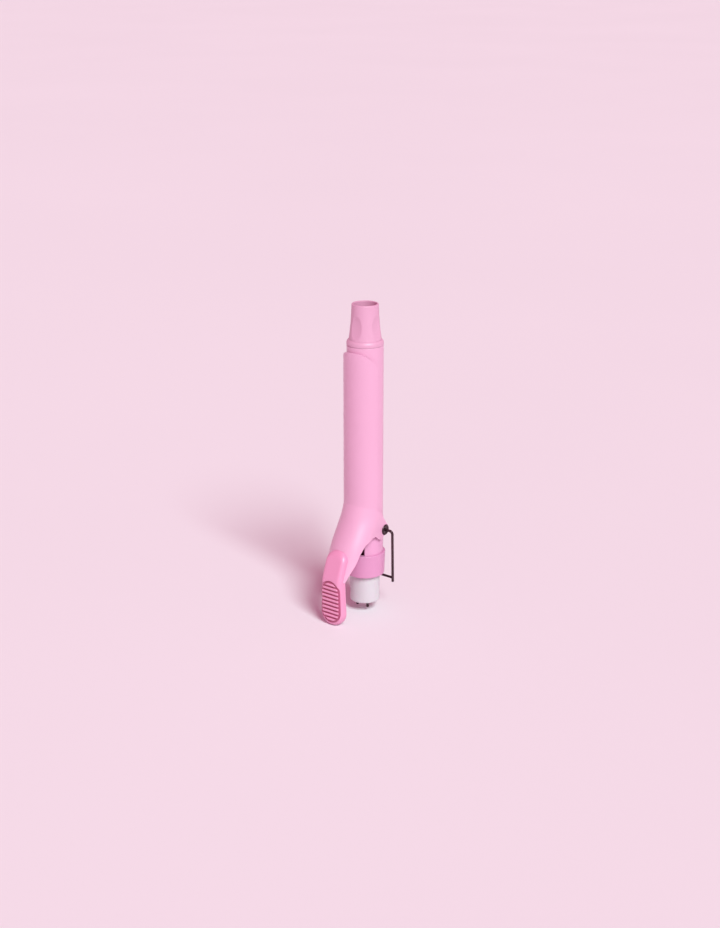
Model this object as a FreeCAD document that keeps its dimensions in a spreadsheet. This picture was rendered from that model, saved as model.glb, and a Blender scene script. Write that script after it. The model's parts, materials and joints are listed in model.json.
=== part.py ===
import FreeCAD, Part
import math
import os
import Sketcher
from FreeCAD import Placement, Rotation, Vector

# Barrel head of a modular hair curler: a heated barrel with a spring clamp, a thumb lever, a wire
# rest and a contact plug that enters a separate handle.
# Frame: +Z runs along the barrel to the cool tip, the lever is on the -Y side, the hinge runs along X.
# The origin is the centre of the skirt's underside, where the plug enters the handle. Millimetres.

doc = FreeCAD.newDocument("hair_curler_head")
sheet = doc.addObject("Spreadsheet::Sheet", "dims")

driving = [
    ("barrelRadius", 16.0), ("barrelWall", 1.2), ("barrelTop", 210.6),
    ("collarRadius", 16.2), ("collarWall", 2.0), ("collarFoot", 5.0), ("collarTop", 54.0),
    ("spigotRadius", 14.75), ("spigotWall", 1.5), ("spigotTop", 62.0),
    ("windowHalf", 9.7), ("windowFoot", 21.0), ("windowTop", 37.0),
    ("skirtBore", 13.6), ("skirtFootRadius", 17.4), ("skirtTopRadius", 18.2), ("skirtTop", 21.0),
    ("skirtFloor", 2.0),
    ("seamDepth", 0.7), ("seamWide", 0.9), ("seamTurn", -8.0),
    ("notchTurn", 40.0), ("notchWide", 2.4), ("notchDeep", 2.6),
    ("plugRadius", 13.4), ("plugLength", 26.5), ("plugWall", 2.0), ("plugFloor", 4.5),
    ("plugRound", 2.0), ("neckRadius", 13.0), ("neckFoot", -0.5), ("flangeRadius", 16.1),
    ("lockWide", 3.0), ("lockDeep", 1.0), ("lockRise", 9.0), ("lockTurn", 38.0),
    ("contactCircle", 6.7), ("contactRadius", 1.22), ("shankContact", 1.5), ("contactStep", 0.4),
    ("contactReach", 6.1), ("contactTop", -12.0),
    ("carrierFoot", -20.0), ("carrierTop", -15.0),
    ("hingeY", 5.0), ("hingeZ", 43.0), ("bossRadius", 4.6), ("bossReach", 16.2),
    ("tubeRadius", 3.4), ("shankRadius", 2.6), ("runningGap", 0.05),
    ("washerInner", 16.25), ("washerThick", 0.45), ("washerRadius", 5.2),
    ("rivetHead", 5.0), ("rivetHeadThick", 0.9), ("rivetInner", 10.0), ("rivetGap", 0.15),
    ("wireRadius", 1.2), ("wireInner", 9.5), ("wireOut", 26.8), ("wireBend", 2.6),
    ("footX", 19.3), ("footY", 16.2), ("footZ", -10.8), ("crossbarZ", -6.2),
    ("cheek", 18.8), ("shellWall", 2.0), ("shellTop", 206.6), ("shellRound", 14.0),
    ("shellEdge", 5.5), ("bendZ", 61.7), ("kneeOut", 17.4), ("kneeZ", 34.6),
    ("armOut", 33.4), ("armEnd", -3.0), ("armTrim", 6.0), ("earRadius", 5.2),
    ("thumbHalf", 12.0), ("thumbTopHalf", 10.5), ("thumbTop", 32.0), ("thumbFoot", -36.0),
    ("thumbFace", 50.8),
    ("padHalf", 10.0), ("padLength", 38.5), ("padZ", -13.0), ("padGroove", 0.9), ("padDepth", 1.6),
    ("padFace", 50.0), ("padLean", 2.1), ("ribPitch", 3.7), ("ribRadius", 1.25),
    ("thumbScrewX", 5.0), ("thumbScrewZ", 14.0), ("thumbScrewRadius", 1.2),
    ("coilRadius", 4.6), ("coilWire", 0.6), ("coilHalf", 5.4),
    ("discTop", 210.6), ("discFoot", 203.0), ("ringFoot", 210.8), ("ringTop", 215.6),
    ("ringRadius", 16.05), ("ringRound", 1.7), ("hubRadius", 9.0),
    ("tipFootRadius", 14.2), ("tipWaistRadius", 12.3), ("tipWaist", 228.0),
    ("tipRimRadius", 11.4), ("tipTop", 246.6), ("tipBore", 10.0), ("tipFloor", 222.0),
    ("scoopZ", 227.0), ("scoopHigh", 9.6), ("scoopHalf", 5.6), ("scoopDeep", 3.4), ("scoopReach", 14.9),
    ("shoeRadius", 14.6), ("shoeFoot", 76.0), ("shoeTop", 196.0), ("stackHalf", 2.3),
    ("leafThick", 0.6), ("tileHalf", 1.3), ("tileWide", 14.0), ("tileLength", 24.0), ("tileFoot", 92.0),
    ("plateThick", 0.5), ("filmThick", 0.5), ("filmSide", 0.8), ("leadRadius", 0.9),
    ("tipHead", 2.8), ("tipHeadThick", 1.8), ("slotLong", 3.6), ("slotWide", 0.8), ("slotDeep", 0.8),
    ("leafWide", 12.0), ("leafLong", 100.0), ("beadRadius", 1.4), ("beadX", 8.0),
    ("fuseRadius", 1.9), ("fuseLong", 9.0), ("fuseFoot", 61.0), ("leadX", 9.2), ("leadY", 11.6),
    ("screwHead", 2.3), ("screwHeadThick", 1.2), ("screwHeadY", 39.8), ("screwY", 41.0), ("screwLong", 5.4),
    ("shieldZ", 57.0), ("shieldThick", 1.0), ("shieldRadius", 13.2),
]
for row, (alias, value) in enumerate(driving, start=1):
    sheet.set("A%d" % row, alias)
    sheet.set("B%d" % row, str(value))
    sheet.setAlias("B%d" % row, alias)
doc.recompute()

nodes = []


def size(alias):
    return float(sheet.get(alias))


def bind(thing, **links):
    for key, formula in links.items():
        thing.setExpression(key, formula)


def place(thing, at, turn=None):
    if turn is not None:
        thing.Placement = Placement(Vector(0, 0, 0), turn)
    for axis, formula in zip("xyz", at):
        thing.setExpression("Placement.Base." + axis, formula)
    return thing


alongX = Rotation(Vector(0, 1, 0), 90)
alongMinusX = Rotation(Vector(0, 1, 0), -90)
alongMinusY = Rotation(Vector(1, 0, 0), 90)


def rod(name, radius, height, at=("0", "0", "0"), turn=None):
    thing = doc.addObject("Part::Cylinder", name)
    bind(thing, Radius=radius, Height=height)
    return place(thing, at, turn)


def block(name, length, width, height, at):
    thing = doc.addObject("Part::Box", name)
    bind(thing, Length=length, Width=width, Height=height)
    return place(thing, at)


def cut(name, base, tool):
    thing = doc.addObject("Part::Cut", name)
    thing.Base = base
    thing.Tool = tool
    return thing


def fuse(name, pieces):
    thing = doc.addObject("Part::MultiFuse", name)
    thing.Shapes = pieces
    return thing


def common(name, pieces):
    thing = doc.addObject("Part::MultiCommon", name)
    thing.Shapes = pieces
    return thing


def group(name, pieces):
    thing = doc.addObject("Part::Compound", name)
    thing.Links = pieces
    return thing


def mirrored(name, source):
    thing = doc.addObject("Part::Mirroring", name)
    thing.Source = source
    thing.Base = Vector(0, 0, 0)
    thing.Normal = Vector(1, 0, 0)
    return thing


def node(label, thing):
    thing.Label = label
    nodes.append(thing)
    return thing


def close_outline(sketch, corners):
    """Draws a closed outline whose corners are held by sheet formulas."""
    count = len(corners)
    start = [Vector(10 + 7 * i, 3 * i * i, 0) for i in range(count)]
    for i in range(count):
        sketch.addGeometry(Part.LineSegment(start[i], start[(i + 1) % count]), False)
    for i in range(count):
        sketch.addConstraint(Sketcher.Constraint("Coincident", i, 2, (i + 1) % count, 1))
    for i, (across, up) in enumerate(corners):
        for kind, formula in (("DistanceX", across), ("DistanceY", up)):
            number = sketch.addConstraint(Sketcher.Constraint(kind, -1, 1, i, 1, 1.0))
            sketch.setExpression("Constraints[%d]" % number, formula)
    return sketch


def body_sketch(body, name, role):
    sketch = body.newObject("Sketcher::SketchObject", name)
    plane = [f for f in body.Origin.OriginFeatures if f.Role == role][0]
    sketch.AttachmentSupport = [(plane, "")]
    sketch.MapMode = "FlatFace"
    return sketch


def turned(name, corners):
    """A body turned about Z from an outline of radius and height."""
    body = doc.addObject("PartDesign::Body", name)
    sketch = close_outline(body_sketch(body, name + "_outline", "XZ_Plane"), corners)
    lathe = body.newObject("PartDesign::Revolution", name + "_turned")
    lathe.Profile = sketch
    lathe.ReferenceAxis = (sketch, ["V_Axis"])
    lathe.Angle = 360.0
    doc.recompute()
    return body


def ring_edges(shape, radius, z):
    found = []
    for number, edge in enumerate(shape.Edges, start=1):
        if not isinstance(edge.Curve, Part.Circle):
            continue
        near = abs(edge.Curve.Radius - radius) < 0.01 and abs(edge.Curve.Center.z - z) < 0.01
        if near:
            found.append("Edge%d" % number)
    return found


def round_rings(body, name, rings, radius):
    tip = body.Tip
    names = []
    for ring_radius, z in rings:
        names += ring_edges(tip.Shape, ring_radius, z)
    blend = body.newObject("PartDesign::Fillet", name)
    blend.Base = (tip, names)
    blend.setExpression("Radius", radius)
    doc.recompute()


def side_prism(name, corners, half, plane="YZ_Plane"):
    """An outline carried along the plane's normal, the same distance both ways."""
    body = doc.addObject("PartDesign::Body", name)
    sketch = close_outline(body_sketch(body, name + "_outline", plane), corners)
    pad = body.newObject("PartDesign::Pad", name + "_pad")
    pad.Profile = sketch
    pad.Midplane = True
    pad.setExpression("Length", half + " * 2")
    doc.recompute()
    return body


def upright_edges(shape, axis, keep):
    """Straight edges along one axis whose middle point passes a test."""
    found = []
    for number, edge in enumerate(shape.Edges, start=1):
        if not isinstance(edge.Curve, Part.Line):
            continue
        if abs(abs(edge.tangentAt(edge.FirstParameter).dot(axis)) - 1) > 1e-6:
            continue
        if keep(edge.CenterOfMass):
            found.append(number)
    return found


def rounded_block(name, base, corner_radius):
    """Rounds the edges along Y of a block; corner_radius gives each edge's radius from its middle."""
    doc.recompute()
    blend = doc.addObject("Part::Fillet", name)
    blend.Base = base
    edges = upright_edges(base.Shape, Vector(0, 1, 0), lambda point: True)
    radii = [corner_radius(base.Shape.Edges[n - 1].CenterOfMass) for n in edges]
    blend.Edges = [(n, r, r) for n, r in zip(edges, radii)]
    doc.recompute()
    return blend


def pipe(name, points, bends, radius):
    """A round bar along straight runs joined by tangent arcs, one bend radius per inner point."""
    corners = [Vector(*point) for point in points]
    edges = []
    start = corners[0]
    for i, bend in enumerate(bends, start=1):
        into = (corners[i] - corners[i - 1]).normalize()
        away = (corners[i + 1] - corners[i]).normalize()
        half_turn = into.getAngle(away) / 2
        enter = corners[i] - into * bend * math.tan(half_turn)
        leave = corners[i] + away * bend * math.tan(half_turn)
        inward = (away - into).normalize()
        middle = corners[i] + inward * bend * (1 / math.cos(half_turn) - 1)
        edges.append(Part.LineSegment(start, enter).toShape())
        edges.append(Part.Arc(enter, middle, leave).toShape())
        start = leave
    edges.append(Part.LineSegment(start, corners[-1]).toShape())
    path = doc.addObject("Part::Feature", name + "_path")
    path.Shape = Part.Wire(edges)
    section = doc.addObject("Part::Circle", name + "_section")
    section.setExpression("Radius", radius)
    section.Placement = Placement(corners[0], Rotation(Vector(0, 0, 1), corners[1] - corners[0]))
    thing = doc.addObject("Part::Sweep", name)
    thing.Sections = [section]
    thing.Spine = (path, [])
    thing.Solid = True
    thing.Frenet = False
    return thing


# ---- contact plug -------------------------------------------------------------------------------

def connector_plug():
    """Cup that carries the contacts; its flange is held between the skirt floor and the collar."""
    bore = "dims.plugRadius - dims.plugWall"
    floor = "-dims.plugLength + dims.plugFloor"
    cup = turned("plug_cup", [
        ("0", "-dims.plugLength"), ("dims.plugRadius", "-dims.plugLength"),
        ("dims.plugRadius", "dims.neckFoot"), ("dims.neckRadius", "dims.neckFoot"),
        ("dims.neckRadius", "dims.skirtFloor"), ("dims.flangeRadius", "dims.skirtFloor"),
        ("dims.flangeRadius", "dims.collarFoot"), (bore, "dims.collarFoot"), (bore, floor), ("0", floor)])
    round_rings(cup, "plug_round", [(size("plugRadius"), -size("plugLength"))], "dims.plugRound")
    locks = []
    for side, turn in (("a", size("lockTurn")), ("b", size("lockTurn") + 180)):
        slot = doc.addObject("Part::Box", "lock_slot_" + side)
        bind(slot, Length="dims.lockDeep + 2", Width="dims.lockWide", Height="dims.lockRise + 2")
        spin = Rotation(Vector(0, 0, 1), turn)
        corner = spin.multVec(Vector(size("plugRadius") - size("lockDeep"), -size("lockWide") / 2, 0))
        slot.Placement = Placement(corner - Vector(0, 0, size("plugLength") + 2), spin)
        run = doc.addObject("Part::Box", "lock_run_" + side)
        bind(run, Length="dims.lockDeep + 2", Width="dims.lockWide * 2", Height="dims.lockWide")
        run.Placement = Placement(corner + Vector(0, 0, size("lockRise") - size("plugLength")), spin)
        locks += [slot, run]
    cutters = fuse("plug_cutters", locks + contact_rods("plug_hole"))
    node("connector_plug", cut("connector_plug_solid", cup, cutters))


def contact_rods(name, radius="dims.shankContact", foot="-dims.plugLength - dims.contactStep"):
    """Three upright rods on the contact circle, from a foot height up to the contacts' tops."""
    rods = []
    for index, turn in enumerate((90.0, 210.0, 330.0)):
        x = "dims.contactCircle * cos(%g deg)" % turn
        y = "dims.contactCircle * sin(%g deg)" % turn
        height = "dims.contactTop - (%s)" % foot
        rods.append(rod("%s_%d" % (name, index), radius, height, (x, y, foot)))
    return rods


def contact_pins():
    """Each contact has a thicker shank in the plug and a round-nosed pin standing out below it."""
    shanks = contact_rods("contact_shank")
    pins = []
    low_rods = contact_rods("contact_pin", "dims.contactRadius", "-dims.plugLength - dims.contactReach")
    for index, pin in enumerate(low_rods):
        doc.recompute()
        nose = doc.addObject("Part::Fillet", "contact_nose_%d" % index)
        nose.Base = pin
        low = [n for n, e in enumerate(pin.Shape.Edges, start=1)
               if isinstance(e.Curve, Part.Circle) and e.CenterOfMass.z < -size("plugLength")]
        nose.Edges = [(n, size("contactRadius") * 0.8, size("contactRadius") * 0.8) for n in low]
        pins.append(fuse("contact_whole_%d" % index, [nose, shanks[index]]))
    node("contact_pins", group("contact_pin_set", pins))


def contact_carrier():
    """Disc inside the plug that keeps the three contacts in line."""
    disc = rod("carrier_disc", "dims.plugRadius - dims.plugWall", "dims.carrierTop - dims.carrierFoot",
               ("0", "0", "dims.carrierFoot"))
    node("contact_carrier", cut("carrier_solid", disc, fuse("carrier_holes", contact_rods("carrier_hole"))))


# ---- skirt and collar ---------------------------------------------------------------------------

def base_skirt():
    """Tapered ring under the hinge; two seams run up its sides and two notches cut its top edge."""
    ring = turned("skirt_ring", [
        ("dims.skirtBore", "0"), ("dims.skirtFootRadius", "0"), ("dims.skirtTopRadius", "dims.skirtTop"),
        ("dims.collarRadius", "dims.skirtTop"), ("dims.collarRadius", "dims.skirtFloor"),
        ("dims.skirtBore", "dims.skirtFloor")])
    top = (size("skirtTopRadius"), size("skirtTop"))
    foot = (size("skirtFootRadius"), 0.0)
    round_rings(ring, "skirt_round", [top, foot], "dims.seamDepth")
    cutters = []
    for side, turn in (("right", size("seamTurn")), ("left", 180 - size("seamTurn"))):
        seam = doc.addObject("Part::Box", "skirt_seam_" + side)
        bind(seam, Length="dims.seamDepth + 3", Width="dims.seamWide", Height="dims.skirtTop + 2")
        spin = Rotation(Vector(0, 0, 1), turn)
        reach = size("skirtFootRadius") - size("seamDepth") + 0.2
        corner = spin.multVec(Vector(reach, -size("seamWide") / 2, 0))
        seam.Placement = Placement(corner - Vector(0, 0, 1), spin)
        cutters.append(seam)
    for side, turn in (("right", size("notchTurn")), ("left", 180 - size("notchTurn"))):
        notch = doc.addObject("Part::Box", "skirt_notch_" + side)
        bind(notch, Length="6", Width="dims.notchWide", Height="dims.notchDeep + 1")
        spin = Rotation(Vector(0, 0, 1), turn)
        corner = spin.multVec(Vector(size("collarRadius"), -size("notchWide") / 2, 0))
        notch.Placement = Placement(corner + Vector(0, 0, size("skirtTop") - size("notchDeep")), spin)
        cutters.append(notch)
    node("base_skirt", cut("skirt_solid", ring, fuse("skirt_cutters", cutters)))


def hinge_collar():
    """Sleeve between the skirt and the barrel, with side bosses for the hinge and a spring window."""
    bore = "dims.collarRadius - dims.collarWall"
    spigot = "dims.spigotRadius - dims.spigotWall"
    sleeve = turned("collar_sleeve", [
        (bore, "dims.collarFoot"), ("dims.collarRadius", "dims.collarFoot"),
        ("dims.collarRadius", "dims.collarTop"), ("dims.spigotRadius", "dims.collarTop"),
        ("dims.spigotRadius", "dims.spigotTop"), (spigot, "dims.spigotTop"),
        (spigot, "dims.collarTop - 3"), (bore, "dims.collarTop - 3")])
    boss = rod("collar_boss", "dims.bossRadius", "dims.bossReach * 2",
               ("-dims.bossReach", "dims.hingeY", "dims.hingeZ"), alongX)
    boss_hollow = rod("collar_boss_hollow", bore, "60", ("0", "0", "dims.collarFoot"))
    full = fuse("collar_full", [sleeve, cut("collar_bosses", boss, boss_hollow)])
    window = block("collar_window", "dims.windowHalf * 2", "12", "dims.windowTop - dims.windowFoot",
                   ("-dims.windowHalf", "-dims.collarRadius - 2", "dims.windowFoot"))
    across = ("-30", "dims.hingeY", "dims.hingeZ")
    bore_rod = rod("collar_cross_bore", "dims.tubeRadius", "60", across, alongX)
    node("hinge_collar", cut("collar_solid", full, fuse("collar_cutters", [window, bore_rod])))


# ---- hinge --------------------------------------------------------------------------------------

def hinge_parts():
    across = ("-dims.bossReach", "dims.hingeY", "dims.hingeZ")
    outer = rod("hinge_tube_outer", "dims.tubeRadius", "dims.bossReach * 2", across, alongX)
    inner = rod("hinge_tube_inner", "dims.shankRadius", "dims.bossReach * 2", across, alongX)
    node("hinge_tube", cut("hinge_tube_solid", outer, inner))

    start = ("dims.washerInner", "dims.hingeY", "dims.hingeZ")
    disc = rod("washer_disc", "dims.washerRadius", "dims.washerThick", start, alongX)
    eye = rod("washer_eye", "dims.shankRadius + dims.runningGap", "dims.washerThick", start, alongX)
    washer = node("hinge_washer_right", cut("washer_solid", disc, eye))
    node("hinge_washer_left", mirrored("washer_mirror", washer))

    inside = ("dims.rivetInner", "dims.hingeY", "dims.hingeZ")
    head_at = ("dims.cheek + dims.rivetGap", "dims.hingeY", "dims.hingeZ")
    reach = "dims.cheek + dims.rivetGap - dims.rivetInner"
    shank = rod("rivet_shank", "dims.shankRadius", reach, inside, alongX)
    head = rod("rivet_head", "dims.rivetHead", "dims.rivetHeadThick", head_at, alongX)
    doc.recompute()
    domed = doc.addObject("Part::Fillet", "rivet_domed")
    domed.Base = head
    rim = [n for n, e in enumerate(head.Shape.Edges, start=1)
           if isinstance(e.Curve, Part.Circle) and e.CenterOfMass.x > size("cheek") + size("rivetHeadThick") * 0.7]
    domed.Edges = [(n, size("rivetHeadThick") * 0.6, size("rivetHeadThick") * 0.6) for n in rim]
    eye = rod("rivet_eye", "dims.wireRadius + dims.runningGap", "30", inside, alongX)
    rivet = node("hinge_eyelet_right", cut("rivet_solid", fuse("rivet_blank", [shank, domed]), eye))
    node("hinge_eyelet_left", mirrored("rivet_mirror", rivet))


# ---- barrel and cool tip ------------------------------------------------------------------------

def barrel_tube():
    height = "dims.barrelTop - dims.collarTop"
    at = ("0", "0", "dims.collarTop")
    outer = rod("barrel_outer", "dims.barrelRadius", height, at)
    inner = rod("barrel_inner", "dims.barrelRadius - dims.barrelWall", height, at)
    node("barrel_tube", cut("barrel_solid", outer, inner))


def tip_end_disc():
    """Insulating plug in the barrel's mouth; its hub carries the tip ring and takes the tip screw."""
    fit = "dims.barrelRadius - dims.barrelWall"
    disc = turned("disc_turned", [
        ("dims.thumbScrewRadius", "dims.discFoot"), (fit, "dims.discFoot"), (fit, "dims.discTop"),
        ("dims.ringRadius - 0.5", "dims.discTop"), ("dims.ringRadius - 0.5", "dims.ringFoot"),
        ("dims.hubRadius", "dims.ringFoot"), ("dims.hubRadius", "dims.ringTop"),
        ("dims.thumbScrewRadius", "dims.ringTop")])
    node("tip_end_disc", disc)


def tip_ring():
    ring = turned("ring_turned", [
        ("dims.hubRadius", "dims.ringFoot"), ("dims.ringRadius", "dims.ringFoot"),
        ("dims.ringRadius", "dims.ringTop"), ("dims.hubRadius", "dims.ringTop")])
    round_rings(ring, "ring_round", [(size("ringRadius"), size("ringTop"))], "dims.ringRound")
    node("tip_ring", ring)


def cool_tip():
    """Flared hollow grip with four finger scoops."""
    shell = turned("tip_shell", [
        ("dims.thumbScrewRadius", "dims.ringTop"), ("dims.tipFootRadius", "dims.ringTop"),
        ("dims.tipWaistRadius", "dims.tipWaist"), ("dims.tipRimRadius", "dims.tipTop"),
        ("dims.tipBore", "dims.tipTop"), ("dims.tipBore", "dims.tipFloor"),
        ("dims.thumbScrewRadius", "dims.tipFloor")])
    round_rings(shell, "tip_flare", [(size("tipWaistRadius"), size("tipWaist"))], "55")
    round_rings(shell, "tip_lip", [(size("tipRimRadius"), size("tipTop"))], "0.8")
    scoops = []
    for index in range(4):
        scoop = doc.addObject("Part::Ellipsoid", "tip_scoop_%d" % index)
        bind(scoop, Radius1="dims.scoopHigh", Radius2="dims.scoopDeep", Radius3="dims.scoopHalf")
        spin = Rotation(Vector(0, 0, 1), 90 * index)
        scoop.Placement = Placement(spin.multVec(Vector(size("scoopReach"), 0, size("scoopZ"))), spin)
        scoops.append(scoop)
    node("cool_tip", cut("tip_solid", shell, fuse("tip_scoops", scoops)))


def tip_screw():
    length = "dims.tipFloor - dims.discFoot - 1"
    shank = rod("tip_screw_shank", "dims.thumbScrewRadius", length, ("0", "0", "dims.discFoot + 1"))
    head = rod("tip_screw_head", "dims.tipHead", "dims.tipHeadThick", ("0", "0", "dims.tipFloor"))
    blank = fuse("tip_screw_blank", [shank, head])
    arms = []
    slot_floor = "dims.tipFloor + dims.tipHeadThick - dims.slotDeep"
    long = "dims.slotLong"
    wide = "dims.slotWide"
    for key, across, along in (("x", long, wide), ("y", wide, long)):
        corner = ("-(%s) / 2" % across, "-(%s) / 2" % along, slot_floor)
        arms.append(block("tip_screw_slot_" + key, across, along, "dims.slotDeep + 1", corner))
    node("tip_screw", cut("tip_screw_solid", blank, fuse("tip_screw_cross", arms)))


# ---- heater -------------------------------------------------------------------------------------

def heater():
    """Ceramic tiles between two electrodes in an insulating film, clamped by two half-round shoes."""
    length = "dims.shoeTop - dims.shoeFoot"
    round_bar = rod("shoe_bar_right", "dims.shoeRadius", length, ("0", "0", "dims.shoeFoot"))
    flat = ("dims.stackHalf + dims.leafThick", "-20", "dims.shoeFoot")
    half = block("shoe_half_right", "20", "40", length, flat)
    node("heater_shoe_right", common("shoe_right_solid", [round_bar, half]))

    round_bar = rod("shoe_bar_left", "dims.shoeRadius", length, ("0", "0", "dims.shoeFoot"))
    half = block("shoe_half_left", "20", "40", length, ("-dims.stackHalf - 20", "-20", "dims.shoeFoot"))
    pocket = rod("shoe_pocket", "dims.beadRadius + 0.2", "16", ("-dims.beadX", "0", "dims.shoeFoot"))
    solid = common("shoe_left_blank", [round_bar, half])
    node("heater_shoe_left", cut("shoe_left_solid", solid, pocket))

    leaf_at = ("dims.stackHalf", "-dims.leafWide / 2", "dims.shoeFoot + 8")
    leaf = block("leaf_plate", "dims.leafThick", "dims.leafWide", "dims.leafLong", leaf_at)
    node("heater_leaf_spring", leaf)

    tiles = []
    for index in range(3):
        z = "dims.tileFoot + %d * (dims.tileLength + 1)" % index
        tiles.append(block("heater_tile_%d" % index, "dims.tileHalf * 2", "dims.tileWide", "dims.tileLength",
                           ("-dims.tileHalf", "-dims.tileWide / 2", z)))
    node("ptc_heater_tiles", group("heater_tile_set", tiles))

    plate_length = "dims.tileLength * 3 + 20"
    for side, x in (("right", "dims.tileHalf"), ("left", "-dims.tileHalf - dims.plateThick")):
        plate = block("electrode_plate_" + side, "dims.plateThick", "dims.tileWide", plate_length,
                      (x, "-dims.tileWide / 2", "dims.shoeFoot"))
        node("electrode_" + side, plate)

    sleeve = block("film_outer", "dims.stackHalf * 2", "dims.tileWide + 2", "dims.tileLength * 3 + 18",
                   ("-dims.stackHalf", "-dims.tileWide / 2 - 1", "dims.shoeFoot + 2"))
    inside = ("-dims.stackHalf + dims.filmThick", "-dims.tileWide / 2 - 1 + dims.filmSide", "dims.shoeFoot + 2")
    hollow = block("film_inner", "(dims.stackHalf - dims.filmThick) * 2",
                   "dims.tileWide + 2 - dims.filmSide * 2", "dims.tileLength * 3 + 18", inside)
    node("insulating_film", cut("film_solid", sleeve, hollow))

    bead_at = ("-dims.beadX", "0", "dims.shoeFoot + 4")
    node("thermistor", rod("thermistor_bead", "dims.beadRadius", "5", bead_at))
    fuse_at = ("dims.leadX", "0", "dims.fuseFoot")
    node("thermal_fuse", rod("fuse_can", "dims.fuseRadius", "dims.fuseLong", fuse_at))


def heat_shield():
    """Disc across the collar's spigot, pierced for the three leads."""
    disc = rod("shield_disc", "dims.shieldRadius", "dims.shieldThick", ("0", "0", "dims.shieldZ"))
    holes = [rod("shield_hole_%d" % index, "dims.leadRadius + 0.2", "6", (x, y, "dims.shieldZ - 3"))
             for index, (x, y) in enumerate((("-dims.leadX", "0"), ("dims.leadX", "0"), ("0", "dims.leadY")))]
    node("heat_shield_disc", cut("shield_solid", disc, fuse("shield_holes", holes)))


def leads():
    """Three insulated leads from the contacts, past the hinge and through the heat shield."""
    circle = size("contactCircle")
    x = circle * math.cos(math.radians(30))
    y = -circle * math.sin(math.radians(30))
    foot = size("contactTop")
    shoe = size("shoeFoot")
    fuse_foot = size("fuseFoot")
    fuse_top = fuse_foot + size("fuseLong")
    side = size("leadX")
    back = size("leadY")
    bead = size("beadX")
    plate = size("tileHalf") + size("plateThick") / 2
    node("lead_neutral", pipe("neutral", [
        (x, y, foot), (x, y, 2), (side, 0, 18), (side, 0, fuse_foot)], [8, 12], "dims.leadRadius"))
    node("lead_live", pipe("live", [
        (-x, y, foot), (-x, y, 2), (-side, 0, 18), (-side, 0, 62), (-plate, 0, 71), (-plate, 0, shoe)],
        [8, 12, 4, 2.5], "dims.leadRadius"))
    node("lead_sense", pipe("sense", [
        (0, circle, foot), (0, circle, 4), (0, back, 20), (0, back, 60), (-bead, 0, 70), (-bead, 0, shoe + 4)],
        [8, 12, 6, 4], "dims.leadRadius"))
    node("lead_fuse_link", pipe("link", [
        (side, 0, fuse_top), (side, 0, 71.5), (plate, 0, 74.5), (plate, 0, shoe)], [0.9, 0.9],
        "dims.leadRadius * 0.6"))


# ---- clamp --------------------------------------------------------------------------------------

def arm_loft(name, radius, back):
    """U-shaped section carried down the clamp, outward at the bend and in again at the knee."""
    stations = (("0", "dims.shellTop + 4"), ("0", "dims.bendZ"), ("dims.kneeOut", "dims.kneeZ"),
                ("dims.armOut", "dims.armEnd"))
    sections = []
    for index, (out, z) in enumerate(stations):
        sketch = doc.addObject("Sketcher::SketchObject", "%s_section_%d" % (name, index))
        reach = size(radius[0]) - radius[1]
        left = Vector(-reach, 0, 0)
        right = Vector(reach, 0, 0)
        sketch.addGeometry(Part.ArcOfCircle(Part.Circle(Vector(0, 0, 0), Vector(0, 0, 1), reach),
                                            math.pi, 2 * math.pi), False)
        sketch.addGeometry(Part.LineSegment(right, right + Vector(0, back, 0)), False)
        sketch.addGeometry(Part.LineSegment(right + Vector(0, back, 0), left + Vector(0, back, 0)), False)
        sketch.addGeometry(Part.LineSegment(left + Vector(0, back, 0), left), False)
        for rule in (("Coincident", 0, 3, -1, 1), ("Coincident", 0, 2, 1, 1), ("Coincident", 1, 2, 2, 1),
                     ("Coincident", 2, 2, 3, 1), ("Coincident", 3, 2, 0, 1), ("PointOnObject", 0, 1, -1),
                     ("PointOnObject", 0, 2, -1), ("Vertical", 1), ("Horizontal", 2), ("Vertical", 3)):
            sketch.addConstraint(Sketcher.Constraint(*rule))
        number = sketch.addConstraint(Sketcher.Constraint("Radius", 0, reach))
        sketch.setExpression("Constraints[%d]" % number, "dims.%s - %g" % radius)
        sketch.addConstraint(Sketcher.Constraint("DistanceY", 1, 1, 1, 2, back))
        place(sketch, ("0", "-" + out, z))
        sections.append(sketch)
    loft = doc.addObject("Part::Loft", name)
    loft.Sections = sections
    loft.Solid = True
    loft.Ruled = True
    return loft


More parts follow.
